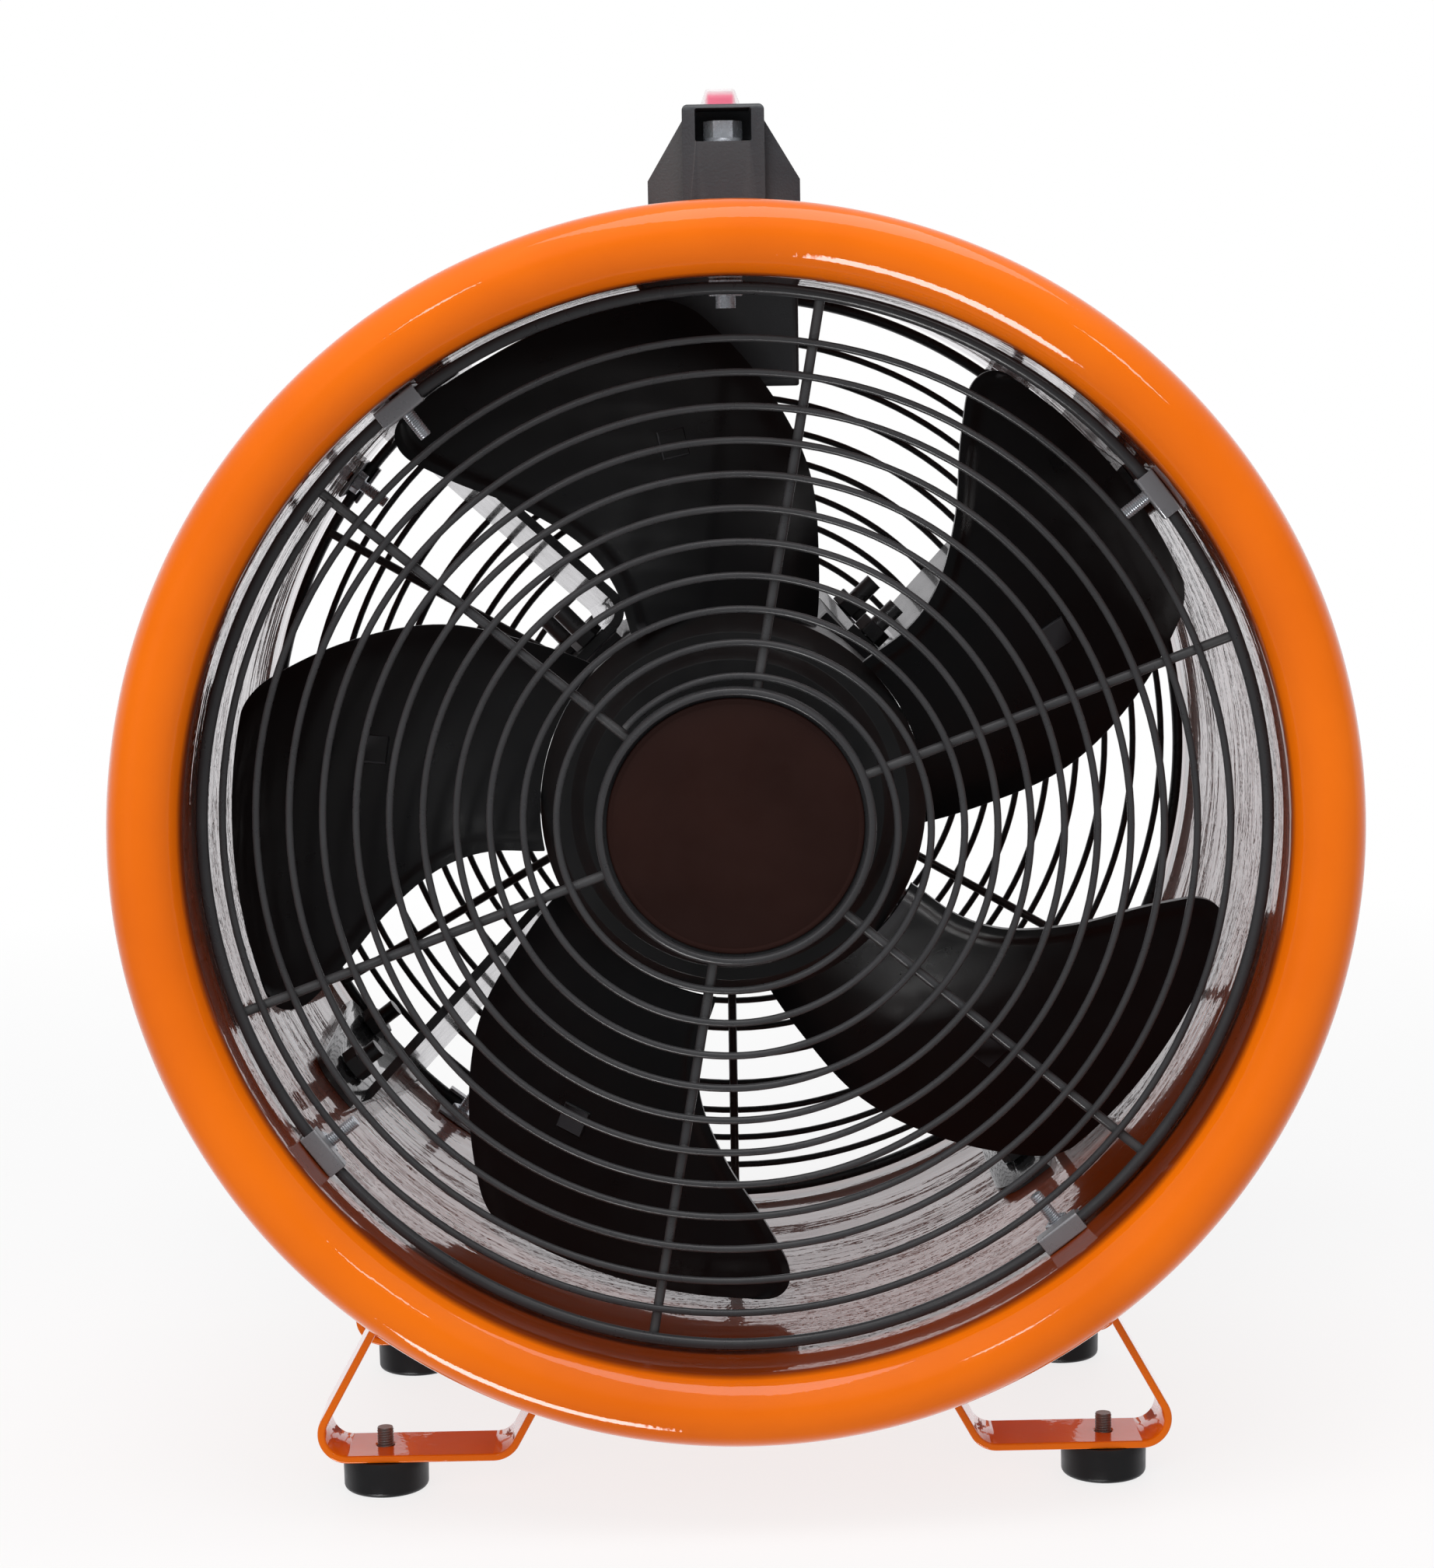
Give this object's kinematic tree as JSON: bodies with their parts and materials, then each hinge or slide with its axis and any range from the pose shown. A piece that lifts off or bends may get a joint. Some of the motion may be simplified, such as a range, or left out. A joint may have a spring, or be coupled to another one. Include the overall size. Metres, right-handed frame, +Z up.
{
  "type": "axial air mover",
  "caption": "Portable axial ventilator: orange rolled duct with spiral wire grilles, black swept-blade impeller, strap legs on rubber feet and a handle with a booted rocker switch.",
  "frame": {"origin": "on the floor, below the middle of the duct", "axes": "+Z up, the duct runs along Y with its front mouth towards -Y"},
  "size_m": [0.3648, 0.25, 0.43],
  "materials": {
    "orange_paint": "glossy powder coat",
    "black_rubber": "matte",
    "grille_paint": "satin dark grey coat",
    "badge_plate": "satin",
    "clip_steel": "satin sheet",
    "zinc": "zinc plated",
    "dark_fastener": "black oxide",
    "impeller_plastic": "semi matte moulded",
    "strut_steel": "satin grey coat",
    "motor_paint": "satin black coat",
    "motor_cover_alloy": "cast",
    "lamination_steel": "stacked sheet",
    "copper_winding": "varnished copper wire",
    "bright_steel": "ground",
    "handle_plastic": "fine moulded texture",
    "rocker_red": "moulded",
    "boot_clear": "soft clear moulding"
  },
  "bodies": {
    "machine": {"bearing_balls": "bright_steel", "bearing_outer_races": "bright_steel", "clip_nuts": "zinc", "clip_screws": "zinc", "duct_shell": "orange_paint", "duct_weld_seam": "orange_paint", "foot_studs": "zinc", "front_grille_badge": "badge_plate", "front_grille_cup": "grille_paint", "front_grille_ring": "grille_paint", "front_grille_spiral": "grille_paint", "front_grille_spokes": "grille_paint", "front_left_leg": "orange_paint", "front_right_leg": "orange_paint", "grille_clips": "clip_steel", "handle_body": "handle_plastic", "handle_bolts": "zinc", "handle_cover": "handle_plastic", "handle_nuts": "zinc", "lead_gland": "handle_plastic", "lead_grommet": "black_rubber", "motor_casing": "motor_paint", "motor_front_cover": "motor_cover_alloy", "motor_lead": "black_rubber", "motor_rear_cover": "motor_cover_alloy", "motor_stator": "lamination_steel", "motor_strut_1": "strut_steel", "motor_strut_2": "strut_steel", "motor_strut_3": "strut_steel", "motor_strut_4": "strut_steel", "motor_tie_bolts": "dark_fastener", "motor_windings": "copper_winding", "rear_grille_cup": "grille_paint", "rear_grille_ring": "grille_paint", "rear_grille_spiral": "grille_paint", "rear_grille_spokes": "grille_paint", "rear_left_leg": "orange_paint", "rear_right_leg": "orange_paint", "rubber_feet": "black_rubber", "run_capacitor": "handle_plastic", "strut_bolts": "dark_fastener", "strut_nuts": "dark_fastener", "strut_studs": "dark_fastener", "switch_boot": "boot_clear", "switch_housing": "handle_plastic", "terminal_box": "handle_plastic", "terminal_box_lid": "handle_plastic"},
    "impeller": {"impeller_hub": "impeller_plastic", "hub_nut": "zinc", "hub_washer": "zinc", "hub_key": "bright_steel", "motor_shaft": "bright_steel", "motor_rotor": "lamination_steel", "bearing_inner_races": "bright_steel", "blade_1": "impeller_plastic", "blade_2": "impeller_plastic", "blade_3": "impeller_plastic", "blade_4": "impeller_plastic", "blade_5": "impeller_plastic"},
    "rocker": {"switch_rocker": "rocker_red"}
  },
  "joints": [
    {"name": "impeller_spin", "type": "hinge", "parent": "machine", "child": "impeller", "pos_m": [0, -0.036, 0.21], "axis": [0, -1, 0], "continuous": true},
    {"name": "switch_rock", "type": "hinge", "parent": "machine", "child": "rocker", "pos_m": [0, 0, 0.4202], "axis": [1, 0, 0], "range_deg": [0, 16]}
  ]
}
